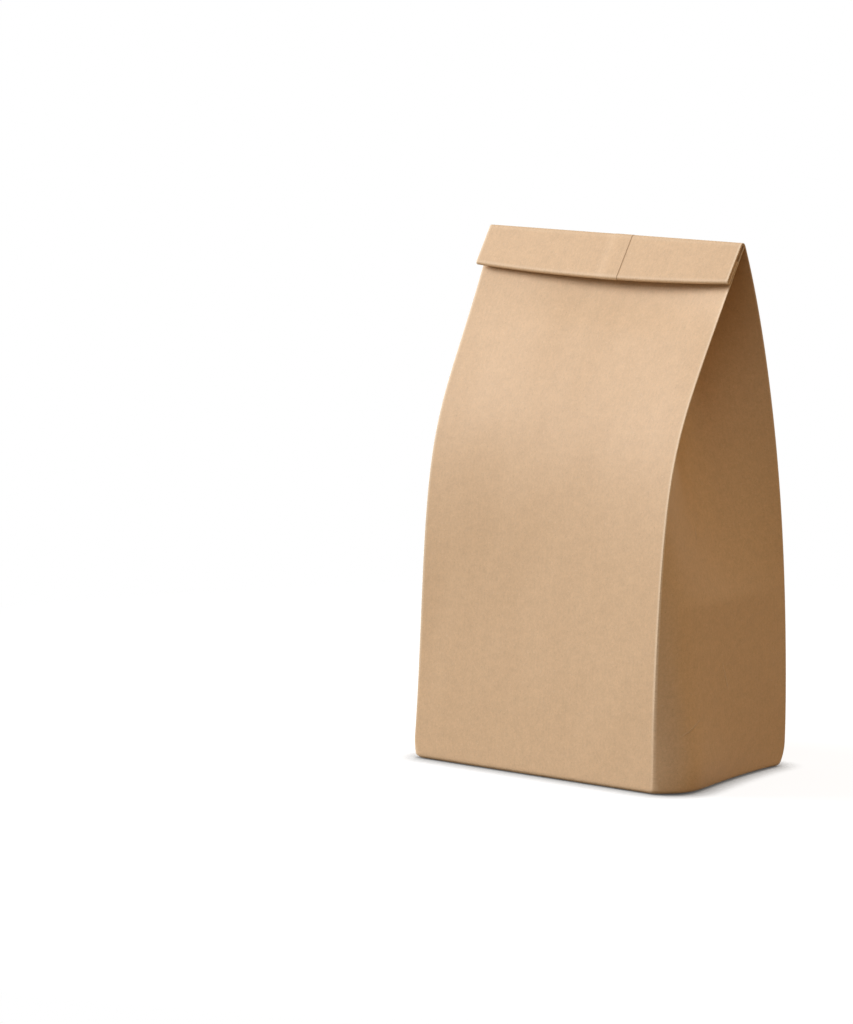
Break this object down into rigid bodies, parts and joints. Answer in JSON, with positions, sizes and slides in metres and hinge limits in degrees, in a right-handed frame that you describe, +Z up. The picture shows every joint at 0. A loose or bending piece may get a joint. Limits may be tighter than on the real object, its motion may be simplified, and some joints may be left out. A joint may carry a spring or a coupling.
{
  "type": "paper bag",
  "caption": "Flat-bottomed, side-gusseted bag folded from one sheet of brown kraft paper, standing open with its top pinched flat and rolled forward twice.",
  "frame": {"origin": "middle of the base, on the surface that the bag stands on", "axes": "+Z up, +X along the front panel to the viewer's right, -Y out of the front panel, on whose side the rolled flap hangs"},
  "size_m": [0.1762, 0.1132, 0.2683],
  "materials": {
    "kraft_paper": "uncoated, matt, finely fibrous"
  },
  "bodies": {
    "root": {"paper_bag": "kraft_paper"}
  },
  "joints": []
}
